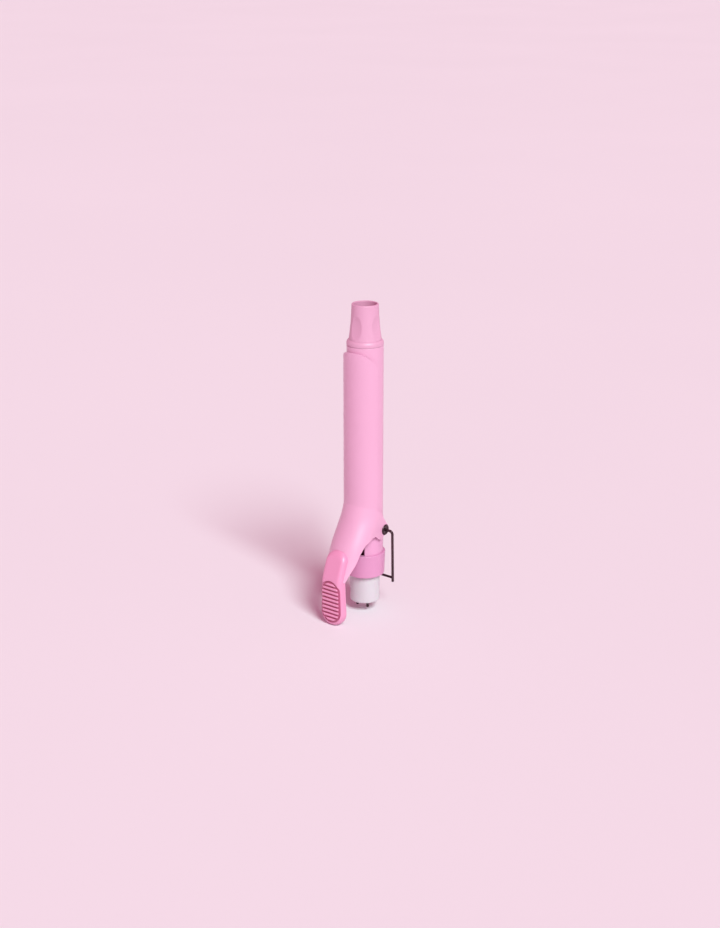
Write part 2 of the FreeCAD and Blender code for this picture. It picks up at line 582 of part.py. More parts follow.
def clamp_shell():
    """Half-round clamp, hinge cheeks and lever arm pressed from one sheet."""
    outer = arm_loft("arm_outer", ("cheek", 0.0), 24.0)
    inner = arm_loft("arm_inner", ("cheek", size("shellWall")), 30.0)
    outline = [
        ("-60", "dims.shellTop + 6"), ("-dims.shellEdge", "dims.shellTop + 6"), ("-dims.shellEdge", "64"),
        ("-0.5", "60"), ("4", "53"), ("9", "46.4"), ("dims.hingeY", "dims.hingeZ"), ("3.5", "37.9"),
        ("1.5", "35.8"), ("-1", "35.2"), ("-4.5", "37"), ("-8", "40.2"), ("-12.3", "40.2"), ("-22", "35.8"),
        ("-28", "29"), ("-33", "21"), ("-39", "13.2"), ("-44", "dims.armTrim"), ("-60", "dims.armTrim")]
    side = side_prism("clamp_side", outline, "30")
    ear = rod("clamp_ear", "dims.earRadius", "60", ("-30", "dims.hingeY", "dims.hingeZ"), alongX)
    front = block("clamp_front", "dims.cheek * 2 + 2", "90", "dims.shellTop",
                  ("-dims.cheek - 1", "-70", "0"))
    middle = size("shellTop") / 2
    front = rounded_block("clamp_front_round", front,
                          lambda point: size("shellRound") if point.z > middle else 1.0)
    sheet_metal = cut("clamp_sheet", outer, inner)
    trimmed = common("clamp_trimmed", [sheet_metal, fuse("clamp_sides", [side, ear]), front])
    pivot = rod("clamp_pivot", "dims.shankRadius + dims.runningGap", "60",
                ("-30", "dims.hingeY", "dims.hingeZ"), alongX)
    shell = cut("clamp_solid", trimmed, fuse("clamp_holes", [pivot] + thumb_shanks("shell_hole", "0.1")))
    node("clamp_shell", shell)
    return outer


def thumb_shanks(name, spare):
    rods = []
    for side, sign in (("right", ""), ("left", "-")):
        at = (sign + "dims.thumbScrewX", "-dims.screwY", "dims.thumbScrewZ")
        radius = "dims.thumbScrewRadius + " + spare
        rods.append(rod("%s_%s" % (name, side), radius, "dims.screwLong", at, alongMinusY))
    return rods


def thumb_rest(arm):
    """Moulded pad over the end of the arm, recessed for the ribbed grip."""
    outline = [
        ("-39.6", "dims.thumbTop"), ("-42.2", "dims.thumbTop - 3"), ("-dims.thumbFace", "7"),
        ("-49.3", "dims.thumbFoot"), ("-41", "dims.thumbFoot"), ("-41.8", "5"), ("-32.6", "dims.thumbTop")]
    side = side_prism("thumb_side", outline, "20")
    front = side_prism("thumb_front", [
        ("-dims.thumbHalf", "dims.thumbFoot"), ("dims.thumbHalf", "dims.thumbFoot"),
        ("dims.thumbTopHalf", "dims.thumbTop"), ("-dims.thumbTopHalf", "dims.thumbTop")], "80", "XZ_Plane")
    front = rounded_block("thumb_front_round", front, lambda point: 9.0 if point.z > 0 else 11.5)
    blank = common("thumb_blank", [side, front])
    above = block("thumb_above", "60", "90", "60", ("-30", "-80", "dims.armTrim"))
    tongue = common("thumb_tongue", [arm, above])
    recess = pad_blank("thumb_recess", "dims.padGroove", "6")
    cutters = fuse("thumb_cutters", [tongue, recess] + thumb_shanks("thumb_hole", "0"))
    node("thumb_rest", cut("thumb_solid", blank, cutters))


def pad_blank(name, spare, thick):
    """Stadium block that lies in the thumb rest's leaning face; its floor is the recess's floor."""
    length = "dims.padHalf * 2 + %s * 2" % spare
    height = "dims.padLength + %s * 2" % spare
    box = block(name + "_box", length, thick, height, ("0", "0", "0"))
    doc.recompute()
    rounded = doc.addObject("Part::Fillet", name)
    rounded.Base = box
    edges = upright_edges(box.Shape, Vector(0, 1, 0), lambda point: True)
    corner = box.Length.Value / 2 - 0.1
    rounded.Edges = [(n, corner, corner) for n in edges]
    lean = Rotation(Vector(1, 0, 0), -size("padLean"))
    middle = Vector(0, -size("padFace"), size("padZ"))
    box_middle = Vector(box.Length.Value / 2, box.Width.Value - size("padDepth"), box.Height.Value / 2)
    rounded.Placement = Placement(middle - lean.multVec(box_middle), lean)
    return rounded



def thumb_grip_pad():
    plate = pad_blank("pad_plate", "0", "dims.padDepth * 0.5")
    ribs = []
    for index in range(10):
        along = (index - 4.5) * size("ribPitch")
        rib = doc.addObject("Part::Cylinder", "pad_rib_%d" % index)
        bind(rib, Radius="dims.ribRadius", Height="dims.padHalf * 2")
        lean = Rotation(Vector(1, 0, 0), -size("padLean"))
        floor = Vector(-size("padHalf"), size("padDepth") - size("padDepth") * 0.5, along)
        middle = Vector(0, -size("padFace"), size("padZ"))
        rib.Placement = Placement(middle + lean.multVec(floor), lean * alongX)
        ribs.append(rib)
    keep = pad_blank("pad_limit", "0", "6")
    ribbed = common("pad_ribs", [fuse("pad_rib_row", ribs), keep])
    node("thumb_grip_pad", fuse("pad_solid", [plate, ribbed]))


def thumb_rest_screws():
    shanks = thumb_shanks("thumb_screw", "0")
    heads = []
    for side, sign in (("right", ""), ("left", "-")):
        at = (sign + "dims.thumbScrewX", "-dims.screwHeadY", "dims.thumbScrewZ")
        heads.append(rod("thumb_screw_head_" + side, "dims.screwHead", "dims.screwHeadThick", at, alongMinusY))
    screws = [fuse("thumb_screw_pair_%d" % i, [heads[i], shanks[i]]) for i in range(2)]
    node("thumb_rest_screws", group("thumb_screw_set", screws))


def clamp_spring():
    """Torsion spring round the hinge tube: one leg behind the lever, one against the collar's back."""
    helix = doc.addObject("Part::Helix", "spring_helix")
    bind(helix, Radius="dims.coilRadius", Height="dims.coilHalf * 2", Pitch="dims.coilHalf * 2 / 6")
    section = doc.addObject("Part::Circle", "spring_section")
    section.setExpression("Radius", "dims.coilWire")
    section.Placement = Placement(Vector(size("coilRadius"), 0, 0), Rotation(Vector(1, 0, 0), 90))
    coil = doc.addObject("Part::Sweep", "spring_coil")
    coil.Sections = [section]
    coil.Spine = (helix, [])
    coil.Solid = True
    coil.Frenet = True
    doc.recompute()
    turn = Rotation(Vector(0, 1, 0), 90)
    coil_at = Placement(Vector(-size("coilHalf"), size("hingeY"), size("hingeZ")), turn)
    placed = doc.addObject("Part::Compound", "spring_coil_placed")
    placed.Links = [coil]
    placed.Placement = coil_at
    below = size("hingeZ") - size("coilRadius")
    lever_end = (size("coilHalf"), -36, 24.5)
    lever = bar_between("spring_lever_leg", (size("coilHalf"), size("hingeY"), below), lever_end)
    back = bar_between("spring_back_leg", (-size("coilHalf"), size("hingeY"), below),
                       (-size("coilHalf"), size("hingeY") + 4.4, size("hingeZ") - 4.6))
    node("clamp_spring", fuse("spring_solid", [placed, lever, back]))


def bar_between(name, start, end):
    axis = Vector(*end) - Vector(*start)
    bar = doc.addObject("Part::Cylinder", name)
    bar.setExpression("Radius", "dims.coilWire")
    bar.Height = axis.Length
    bar.Placement = Placement(Vector(*start), Rotation(Vector(0, 0, 1), axis))
    return bar


# ---- wire rest ----------------------------------------------------------------------------------

def wire_rest():
    """Two bent legs that pivot in the hinge eyelets, with a welded crossbar behind the plug."""
    y = size("hingeY")
    z = size("hingeZ")
    foot = (size("footX"), size("footY"), size("footZ"))
    leg = node("rest_leg_right", pipe("rest_leg", [
        (size("wireInner"), y, z), (size("wireOut"), y, z), foot], [size("wireBend")], "dims.wireRadius"))
    node("rest_leg_left", mirrored("rest_leg_mirror", leg))
    top = Vector(size("wireOut"), y, z)
    share = (size("crossbarZ") - top.z) / (foot[2] - top.z)
    weld = top + (Vector(*foot) - top) * share
    bar = doc.addObject("Part::Cylinder", "rest_bar")
    bar.setExpression("Radius", "dims.wireRadius - 0.1")
    bar.Height = 2 * weld.x
    bar.Placement = Placement(Vector(-weld.x, weld.y, weld.z), alongX)
    trimmed = cut("rest_bar_half", bar, leg)
    node("rest_crossbar", cut("rest_bar_solid", trimmed, nodes[-1]))


connector_plug()
contact_pins()
contact_carrier()
base_skirt()
hinge_collar()
hinge_parts()
barrel_tube()
tip_end_disc()
tip_ring()
cool_tip()
tip_screw()
heater()
heat_shield()
leads()
arm = clamp_shell()
thumb_rest(arm)
thumb_grip_pad()
thumb_rest_screws()
clamp_spring()
wire_rest()
doc.recompute()

for thing in doc.Objects:
    if "Invalid" in thing.State or "Error" in thing.State:
        raise RuntimeError("%s did not build: %s" % (thing.Name, thing.State))
for thing in nodes:
    shape = thing.Shape
    if shape.isNull() or not shape.isValid() or not shape.Solids:
        raise RuntimeError("%s has no valid solid" % thing.Label)

os.makedirs("parts", exist_ok=True)
for thing in nodes:
    thing.Shape.exportStep("parts/%s.step" % thing.Label)
    box = thing.Shape.BoundBox
    print("%-20s %d solid(s) %9.1f mm3  x %.1f..%.1f  y %.1f..%.1f  z %.1f..%.1f" % (
        thing.Label, len(thing.Shape.Solids), thing.Shape.Volume,
        box.XMin, box.XMax, box.YMin, box.YMax, box.ZMin, box.ZMax))
print(len(nodes), "nodes")
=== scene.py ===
import json
from math import acos, asin, atan2, cos, degrees, exp, hypot, pi, radians, sin, sqrt, tan

import bmesh
import bpy
from mathutils import Matrix, Vector


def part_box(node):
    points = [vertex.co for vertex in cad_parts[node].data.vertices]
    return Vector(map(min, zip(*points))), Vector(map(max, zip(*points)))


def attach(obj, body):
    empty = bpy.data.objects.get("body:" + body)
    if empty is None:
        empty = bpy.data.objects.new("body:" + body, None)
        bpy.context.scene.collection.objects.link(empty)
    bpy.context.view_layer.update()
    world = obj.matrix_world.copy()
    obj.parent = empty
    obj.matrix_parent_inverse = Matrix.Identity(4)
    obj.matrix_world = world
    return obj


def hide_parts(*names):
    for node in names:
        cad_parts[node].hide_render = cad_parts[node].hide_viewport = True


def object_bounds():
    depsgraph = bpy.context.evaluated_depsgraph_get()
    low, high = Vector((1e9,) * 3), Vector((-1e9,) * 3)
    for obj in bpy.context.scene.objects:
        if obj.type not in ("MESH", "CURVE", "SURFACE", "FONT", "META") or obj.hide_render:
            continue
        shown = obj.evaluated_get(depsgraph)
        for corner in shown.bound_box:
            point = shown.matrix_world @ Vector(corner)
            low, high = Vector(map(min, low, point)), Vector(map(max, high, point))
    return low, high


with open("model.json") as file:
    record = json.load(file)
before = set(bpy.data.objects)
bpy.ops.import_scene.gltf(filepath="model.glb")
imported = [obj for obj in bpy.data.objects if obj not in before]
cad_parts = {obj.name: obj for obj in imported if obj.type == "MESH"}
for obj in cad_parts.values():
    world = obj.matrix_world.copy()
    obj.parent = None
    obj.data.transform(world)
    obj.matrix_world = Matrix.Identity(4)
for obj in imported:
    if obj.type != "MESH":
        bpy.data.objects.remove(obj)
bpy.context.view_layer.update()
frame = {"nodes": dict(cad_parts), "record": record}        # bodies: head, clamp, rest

mm = 0.001


def softCorner(value, width):
    return 0.5 * (value + sqrt(value * value + width * width))


thumb = {"half": 12.0, "top": 32.0, "foot": -36.0, "topRound": 8.8, "topHalf": 10.5, "deep": 8.6,
         "taperFoot": -24, "taperLong": 34, "backRound": 1.6, "backSoft": 1.5, "backFollow": 0.25,
         "armInner": 16.9, "edgeRound": 4.2, "softEdge": 0.25, "knee": 4.0, "topSoft": 1.5,
         "face": [(-36, 49.3), (7, 50.8), (29.2, 42.2), (32, 39.9)],
         "padZ": -13.0, "padLean": 1.3, "padHalf": 10.0, "padLong": 38.5, "padGap": 0.7, "padSunk": 1.9,
         "ribPitch": 3.7, "ribWide": 2.0, "ribBack": 1.05, "ribHigh": 1.75, "ribSoft": 0.7,
         "ribFoot": 0.4, "ribs": 10, "padBase": 0.7}


def thumbFace(z):
    t = thumb
    (z0, f0), (z1, f1), (z2, f2), (z3, f3) = t["face"]
    lower = (f1 - f0) / (z1 - z0)
    upper = (f2 - f1) / (z2 - z1)
    end = (f3 - f2) / (z3 - z2)
    out = f1 + lower * (z - z1) + (upper - lower) * softCorner(z - z1, t["knee"])
    return out + (end - upper) * softCorner(z - z2, t["topSoft"])


def shaderNodes(name):
    finish = bpy.data.materials.new(name)
    finish.use_nodes = True
    nodes = finish.node_tree.nodes
    return finish, nodes, finish.node_tree.links, nodes["Principled BSDF"]


def noise(nodes, links, place, scale, detail, roughness=0.5):
    cloud = nodes.new("ShaderNodeTexNoise")
    cloud.inputs["Scale"].default_value = scale
    cloud.inputs["Detail"].default_value = detail
    cloud.inputs["Roughness"].default_value = roughness
    links.new(place.outputs["Object"], cloud.inputs["Vector"])
    return cloud


def spread(nodes, links, source, low, high):
    ramp = nodes.new("ShaderNodeMapRange")
    ramp.inputs["To Min"].default_value = low
    ramp.inputs["To Max"].default_value = high
    ramp.inputs["From Min"].default_value = 0.3
    ramp.inputs["From Max"].default_value = 0.7
    links.new(source.outputs["Fac"], ramp.inputs["Value"])
    return ramp


def tinted(nodes, links, fac, first, second):
    mix = nodes.new("ShaderNodeMix")
    mix.data_type = "RGBA"
    mix.inputs[6].default_value = (*first, 1)
    mix.inputs[7].default_value = (*second, 1)
    links.new(fac, mix.inputs[0])
    return mix.outputs[2]


def paintedGrooveShade(nodes, links, place, tint, deep):      # painted shade: darkens the pad's sunk floor by depth below the ribs, standing in for the shade in the recess
    lean = radians(thumb["padLean"])
    out = nodes.new("ShaderNodeVectorMath")
    out.operation = "DOT_PRODUCT"
    out.inputs[1].default_value = (0, -1, -tan(lean))
    links.new(place.outputs["Object"], out.inputs[0])
    face = (thumbFace(thumb["padZ"]) - thumb["padZ"] * tan(lean)) * mm
    # depth below the pad face sets how much painted shade is mixed in
    depth = nodes.new("ShaderNodeMapRange")
    depth.inputs["From Min"].default_value = face - thumb["padSunk"] * mm * 0.6
    depth.inputs["From Max"].default_value = face - 0.15 * mm
    links.new(out.outputs["Value"], depth.inputs["Value"])
    mix = nodes.new("ShaderNodeMix")
    mix.data_type = "RGBA"
    mix.inputs[6].default_value = (*deep, 1)
    links.new(tint, mix.inputs[7])
    links.new(depth.outputs[0], mix.inputs[0])
    return mix.outputs[2]


def mouldedFinish(name, look):
    finish, nodes, links, shader = shaderNodes(name)
    place = nodes.new("ShaderNodeTexCoord")
    cloud = noise(nodes, links, place, look["cloudScale"], 3.0)
    shade = [channel * look["cloudDepth"] for channel in look["colour"]]
    tint = tinted(nodes, links, spread(nodes, links, cloud, 0, 1).outputs[0], shade, look["colour"])
    # a look with a groove colour gets painted shade in its recess
    if "groove" in look:
        tint = paintedGrooveShade(nodes, links, place, tint, look["groove"])
    links.new(tint, shader.inputs["Base Color"])
    grain = noise(nodes, links, place, look["grainScale"], 2.0, 0.6)
    gloss = spread(nodes, links, grain, look["gloss"] - 0.04, look["gloss"] + 0.05)
    links.new(gloss.outputs[0], shader.inputs["Roughness"])
    bump = nodes.new("ShaderNodeBump")
    bump.inputs["Strength"].default_value = look["grainDepth"]
    bump.inputs["Distance"].default_value = 0.00005
    links.new(grain.outputs["Fac"], bump.inputs["Height"])
    links.new(bump.outputs["Normal"], shader.inputs["Normal"])
    shader.inputs["Coat Weight"].default_value = look["coat"]
    shader.inputs["Coat Roughness"].default_value = 0.28
    shader.inputs["Subsurface Weight"].default_value = look.get("depth", 0.0)
    shader.inputs["Subsurface Radius"].default_value = (0.004, 0.002, 0.003)
    shader.inputs["Subsurface Scale"].default_value = 0.5
    shader.inputs["Specular IOR Level"].default_value = look.get("specular", 0.4)
    return finish


def metalFinish(name, look):
    finish, nodes, links, shader = shaderNodes(name)
    place = nodes.new("ShaderNodeTexCoord")
    stretch = nodes.new("ShaderNodeMapping")
    stretch.inputs["Scale"].default_value = look["stretch"]
    links.new(place.outputs["Object"], stretch.inputs["Vector"])
    lines = nodes.new("ShaderNodeTexNoise")
    lines.inputs["Scale"].default_value = look["lineScale"]
    lines.inputs["Detail"].default_value = 4.0
    links.new(stretch.outputs["Vector"], lines.inputs["Vector"])
    cloud = noise(nodes, links, place, 140.0, 3.0)
    shade = [channel * 0.6 for channel in look["colour"]]
    tint = tinted(nodes, links, spread(nodes, links, cloud, 0, 1).outputs[0], shade, look["colour"])
    links.new(tint, shader.inputs["Base Color"])
    gloss = spread(nodes, links, lines, look["gloss"] - 0.07, look["gloss"] + 0.1)
    links.new(gloss.outputs[0], shader.inputs["Roughness"])
    bump = nodes.new("ShaderNodeBump")
    bump.inputs["Strength"].default_value = 0.25
    bump.inputs["Distance"].default_value = 0.00003
    links.new(lines.outputs["Fac"], bump.inputs["Height"])
    links.new(bump.outputs["Normal"], shader.inputs["Normal"])
    shader.inputs["Metallic"].default_value = look["metallic"]
    return finish


coatingPink = {"colour": (0.75, 0.395, 0.575), "cloudScale": 30, "cloudDepth": 0.975, "grainScale": 2600,
               "grainDepth": 0.10, "gloss": 0.44, "coat": 0.5, "specular": 0.8}
housingPink = {**coatingPink, "colour": (0.74, 0.36, 0.57), "gloss": 0.5, "grainScale": 1900,
               "grainDepth": 0.16, "coat": 0.2}
# the housing pink darkened for the skirt: painted shade
skirtPinkPaintedShade = {**housingPink, "colour": (0.67, 0.295, 0.505)}
thumbPink = {**housingPink, "colour": (0.78, 0.31, 0.51), "gloss": 0.45}
plugWhite = {"colour": (0.64, 0.64, 0.66), "cloudScale": 45, "cloudDepth": 0.97, "grainScale": 1500,
             "grainDepth": 0.12, "gloss": 0.42, "coat": 0.0, "depth": 0.25}
darkWire = {"colour": (0.075, 0.038, 0.05), "stretch": (1, 1, 0.12), "lineScale": 900, "gloss": 0.2,
            "metallic": 0.6}
springSteel = {"colour": (0.42, 0.40, 0.40), "stretch": (1, 1, 1), "lineScale": 700, "gloss": 0.35,
               "metallic": 1.0}

finishes = {
    "clamp_coating": mouldedFinish("clampCoating", coatingPink),
    "barrel_coating": mouldedFinish("barrelCoating", coatingPink),
    "tip_pink": mouldedFinish("tipPink", {**housingPink, "colour": (0.70, 0.37, 0.53)}),
    "housing_pink": mouldedFinish("housingPink", housingPink),
    "skirt_pink": mouldedFinish("skirtPinkPaintedShade", skirtPinkPaintedShade),
    "thumb_pink": mouldedFinish("thumbPink", thumbPink),
    # the pad's groove colour is painted shade for the sunk floor between the ribs
    "pad_pink": mouldedFinish("padPink", {**thumbPink, "colour": (0.80, 0.33, 0.52), "gloss": 0.4,
                                          "groove": (0.46, 0.085, 0.19)}),
    "plug_white": mouldedFinish("plugWhite", plugWhite),
    "carrier_plastic": mouldedFinish("carrierPlastic", {**plugWhite, "colour": (0.5, 0.47, 0.44)}),
    "washer_nylon": mouldedFinish("washerNylon", {**plugWhite, "colour": (0.7, 0.66, 0.64)}),
    "film_amber": mouldedFinish("filmAmber", {**plugWhite, "colour": (0.60, 0.28, 0.05), "depth": 0.0}),
    "lead_white": mouldedFinish("leadWhite", {**plugWhite, "colour": (0.75, 0.74, 0.72)}),
    "lead_red": mouldedFinish("leadRed", {**plugWhite, "colour": (0.50, 0.05, 0.05)}),
    "ceramic_grey": mouldedFinish("ceramicGrey", {**plugWhite, "colour": (0.25, 0.25, 0.26), "depth": 0.0}),
    "wire_metal": metalFinish("wireMetal", darkWire),
    "pin_metal": metalFinish("pinMetal", {**darkWire, "colour": (0.07, 0.035, 0.045)}),
    "spring_steel": metalFinish("springSteel", springSteel),
    "heater_alloy": metalFinish("heaterAlloy", {**springSteel, "colour": (0.6, 0.6, 0.61)}),
}
bodyOf = {n: body for body, members in frame["record"]["behaviour"]["bodies"].items() for n in members}
slotOf = {entry["node"]: entry["material_slot"] for entry in frame["record"]["subparts"]}
for nodeName, cadNode in frame["nodes"].items():
    cadNode.data.materials.clear()
    cadNode.data.materials.append(finishes[slotOf[nodeName]])
print("finishes mixed:", len(finishes))


def faceOutward(bm):      # every closed shell's faces turned out, shell by shell
    bmesh.ops.recalc_face_normals(bm, faces=bm.faces)
    waiting = set(bm.faces)
    while waiting:
        shell = [waiting.pop()]
        for face in shell:
            for edge in face.edges:
                for other in edge.link_faces:
                    if other in waiting:
                        waiting.discard(other)
                        shell.append(other)
        volume = 0
        for face in shell:
            corner = face.verts[0].co
            for first, second in zip(face.verts[1:], face.verts[2:]):
                volume += corner.dot(first.co.cross(second.co))
        if volume < 0:
            bmesh.ops.reverse_faces(bm, faces=shell)


def finishPiece(bm, name, nodeName, sharp=40, recalc=True):
    if recalc:
        bmesh.ops.remove_doubles(bm, verts=bm.verts, dist=0.0005)
        faceOutward(bm)
    bmesh.ops.scale(bm, vec=(mm, mm, mm), verts=bm.verts)
    mesh = bpy.data.meshes.new(name)
    bm.to_mesh(mesh)
    bm.free()
    piece = bpy.data.objects.new(name, mesh)
    bpy.context.scene.collection.objects.link(piece)
    mesh.shade_smooth()
    mesh.set_sharp_from_angle(angle=radians(sharp))
    slotName = slotOf[nodeName]
    mesh.materials.append(finishes[slotName])
    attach(piece, bodyOf[nodeName])
    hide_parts(nodeName)
    return piece


def bake(piece):
    graph = bpy.context.evaluated_depsgraph_get()
    settled = bpy.data.meshes.new_from_object(piece.evaluated_get(graph))
    piece.modifiers.clear()
    piece.data = settled
    return piece


def profileWire(bm, corners):
    points = [bm.verts.new((r, 0, z)) for r, z, soft in corners]
    for first, second in zip(points, points[1:]):
        bm.edges.new((first, second))
    for point, (r, z, soft) in zip(points, corners):
        if soft > 0:
            bmesh.ops.bevel(bm, geom=[point], offset=soft, offset_type="OFFSET", segments=8,
                            profile=0.5, affect="VERTICES", material=-1, clamp_overlap=False)


def spun(corners, segments=128, rowStep=None):
    bm = bmesh.new()
    profileWire(bm, corners)
    if rowStep:
        for edge in list(bm.edges):
            cuts = int(edge.calc_length() / rowStep)
            if cuts > 0:
                bmesh.ops.subdivide_edges(bm, edges=[edge], cuts=cuts)
    bmesh.ops.spin(bm, geom=bm.verts[:] + bm.edges[:], cent=(0, 0, 0), axis=(0, 0, 1), dvec=(0, 0, 0),
                   angle=2 * pi, steps=segments, use_merge=True, use_duplicate=False)
    bmesh.ops.remove_doubles(bm, verts=bm.verts, dist=0.002)
    return bm


def pressRadially(bm, rule):
    for point in bm.verts:
        radius = hypot(point.co.x, point.co.y)
        if radius < 0.5:
            continue
        turn = degrees(atan2(point.co.y, point.co.x))
        share = 1 + rule(turn, point.co.z, radius) / radius
        point.co.x *= share
        point.co.y *= share


def nearTurn(turn, centre):
    return (turn - centre + 180) % 360 - 180


coolTip = {"foot": 14.3, "waist": 12.4, "waistZ": 228.0, "flare": 9.0, "rim": 11.65, "bore": 10.0,
           "sunk": 0.05, "screwHole": 2.6, "hollow": 25.4,
           "scoopZ": 227.0, "scoopHigh": 10.0, "scoopTurn": 24.0, "scoopDeep": 1.25}


def makeCoolTip():
    low, high = [corner.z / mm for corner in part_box("cool_tip")]
    t = coolTip
    foot = low - t["sunk"]
    hole = t["screwHole"]
    floor = high - t["hollow"]
    bm = spun([(hole, foot, 0), (t["foot"], foot, 0.1), (t["waist"], t["waistZ"], t["flare"]),
               (t["rim"], high, 0.8), (t["bore"], high, 0.6), (t["bore"] - 0.15, floor + 0.2, 1.2),
               (hole, floor, 0), (hole, foot, 0)], segments=192, rowStep=0.6)

    def scoops(turn, z, radius):
        if radius < t["bore"] + 0.6:
            return 0
        across = min(abs(nearTurn(turn, quarter)) for quarter in (0, 90, 180, 270)) / t["scoopTurn"]
        along = (z - t["scoopZ"]) / t["scoopHigh"]
        inside = 1 - across * across - along * along
        return -t["scoopDeep"] * inside ** 0.85 if inside > 0 else 0

    pressRadially(bm, scoops)
    finishPiece(bm, "coolTip", "cool_tip", sharp=60)


tipRing = {"outer": 16.1, "groove": 0.12, "inner": 9.1, "edge": 0.35, "shoulder": 1.7}


def makeTipRing():
    low, high = [corner.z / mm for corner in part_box("tip_ring")]
    t = tipRing
    outer, edge, groove = t["outer"], t["edge"], high - t["groove"]
    bm = spun([(t["inner"], low, 0), (outer - edge, low, 0.1), (outer, low + edge, 0.12),
               (outer, high - t["shoulder"], 1.2), (outer - 1.5, high - 0.02, 0.3),
               (coolTip["foot"] + 0.05, high - 0.02, 0.03), (coolTip["foot"] - 0.1, groove, 0),
               (t["inner"], groove, 0), (t["inner"], low, 0)], segments=160)
    finishPiece(bm, "tipRing", "tip_ring", sharp=35)


barrel = {"wall": 1.2, "edge": 0.35}


def makeBarrel():
    lo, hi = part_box("barrel_tube")
    low, high, outer = lo.z / mm, hi.z / mm, hi.x / mm
    inner = outer - barrel["wall"]
    edge = barrel["edge"]
    bm = spun([(inner, low, 0), (outer - edge, low, 0.1), (outer, low + edge, 0.1), (outer, high - edge, 0.1),
               (outer - edge, high, 0.1), (inner, high, 0), (inner, low, 0)], segments=160, rowStep=12)
    finishPiece(bm, "barrelTube", "barrel_tube", sharp=50)


skirt = {"foot": 17.4, "top": 18.2, "bore": 13.6, "socket": 16.2, "socketDeep": 4,
         "seamTurn": -8.0, "seamHalf": 2.0, "seamDeep": 0.7,
         "notchTurn": 40.0, "notchHalf": 4.4, "notchDeep": 2.6}


def makeSkirt():
    lo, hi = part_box("base_skirt")
    low, high = lo.z / mm, hi.z / mm
    t = skirt
    bore, socket = t["bore"], t["socket"]
    bm = spun([(bore, low, 0.2), (t["foot"], low, 0.6), (t["top"], high, 0.5), (socket + 0.1, high, 0.25),
               (socket, high - t["socketDeep"], 0), (bore, high - t["socketDeep"] - 2, 0), (bore, low, 0)],
              segments=256, rowStep=0.65)

    def seamsAndNotches(turn, z, radius):
        if radius < socket + 0.2:
            return 0
        mirrorTurn = turn if abs(turn) < 90 else 180 - turn
        across = abs(nearTurn(mirrorTurn, t["seamTurn"])) / t["seamHalf"]
        push = -t["seamDeep"] * (1 - across) if across < 1 else 0
        if abs(nearTurn(mirrorTurn, t["notchTurn"])) < t["notchHalf"] and z > high - t["notchDeep"]:
            push = socket + 0.05 - radius
        return push

    pressRadially(bm, seamsAndNotches)
    finishPiece(bm, "baseSkirt", "base_skirt", sharp=35)


plug = {"outer": 13.4, "round": 2.0, "neck": 13.0, "neckFoot": -0.5, "neckTop": 1.9, "bore": 11.4,
        "floor": 4.5, "lockTurn": 38.0, "lockHalf": 6.4, "lockRise": 9.0, "lockDeep": 0.95,
        "lockReach": 19.0, "lockWide": 3}


def makePlug():
    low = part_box("connector_plug")[0].z / mm
    t = plug
    outer, neck, bore, floor = t["outer"], t["neck"], t["bore"], low + t["floor"]
    bm = spun([(0, low, 0), (outer, low, t["round"]), (outer, t["neckFoot"], 0.2), (neck, t["neckFoot"], 0),
               (neck, t["neckTop"], 0), (bore, t["neckTop"], 0), (bore, floor, 0), (0, floor, 0)],
              segments=224, rowStep=0.55)

    def locks(turn, z, radius):
        if radius < outer - 0.6 or z > 1:
            return 0
        side = min((nearTurn(turn, t["lockTurn"]), nearTurn(turn, t["lockTurn"] + 180)), key=abs)
        rise = low + t["lockRise"]
        up = abs(side) < t["lockHalf"] and z < rise + t["lockWide"]
        run = -t["lockHalf"] < side < t["lockReach"] and rise < z < rise + t["lockWide"]
        return -t["lockDeep"] if up or run else 0

    pressRadially(bm, locks)
    finishPiece(bm, "connectorPlug", "connector_plug", sharp=45)


pins = {"circle": 6.7, "radius": 1.22, "shank": 1.5, "step": -26.9, "ringZ": 2.5, "ringDeep": 0.15,
        "turns": (90, 210, 330)}


def makePins():
    lo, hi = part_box("contact_pins")
    t = pins
    tip, top, r = lo.z / mm, hi.z / mm, t["radius"]
    ring = tip + t["ringZ"]
    row = bmesh.new()
    for turn in t["turns"]:
        bm = spun([(0, tip, 0), (r, tip, 0.75), (r, ring, 0.1), (r - t["ringDeep"], ring + 0.2, 0.1),
                   (r, ring + 0.4, 0.1), (r, t["step"], 0), (t["shank"], t["step"], 0.12),
                   (t["shank"], top, 0), (0, top, 0)], segments=40)
        spot = Vector((cos(radians(turn)), sin(radians(turn)), 0)) * t["circle"]
        bmesh.ops.translate(bm, vec=spot, verts=bm.verts)
        mesh = bpy.data.meshes.new("onePin")
        bm.to_mesh(mesh)
        bm.free()
        row.from_mesh(mesh)
        bpy.data.meshes.remove(mesh)
    finishPiece(row, "contactPins", "contact_pins", sharp=50)


clamp = {"outer": 18.8, "wall": 2.0, "tipRound": 14.0, "edge": 5.5, "bendZ": 61.7, "kneeZ": 34.6,
         "kneeOut": 17.4, "endOut": 33.4, "endZ": -3.0, "crease": 0.7, "cell": 1.3, "rise": 7.6, "sag": 8.2,
         "riseLong": 14, "kneeSoft": 5.0, "creaseRows": (-0.9, -0.3, 0, 0.3, 0.9),
         "dip": 0.6, "dipLong": 7.0, "rolled": 0.85,
         "sideLine": [(5.5, 64), (0.5, 60), (-4, 53), (-9, 46.4), "ear", (-3.5, 37.9), (-1.5, 35.8),
                      (1, 35.2), (4.5, 37), (8, 40.2), (12.3, 40.2), (22, 35.8), (28, 29), (33, 21),
                      (39, 13.2), (44, 6)],
         "hinge": (-5.0, 43.0), "ear": 5.2, "eye": 2.65}


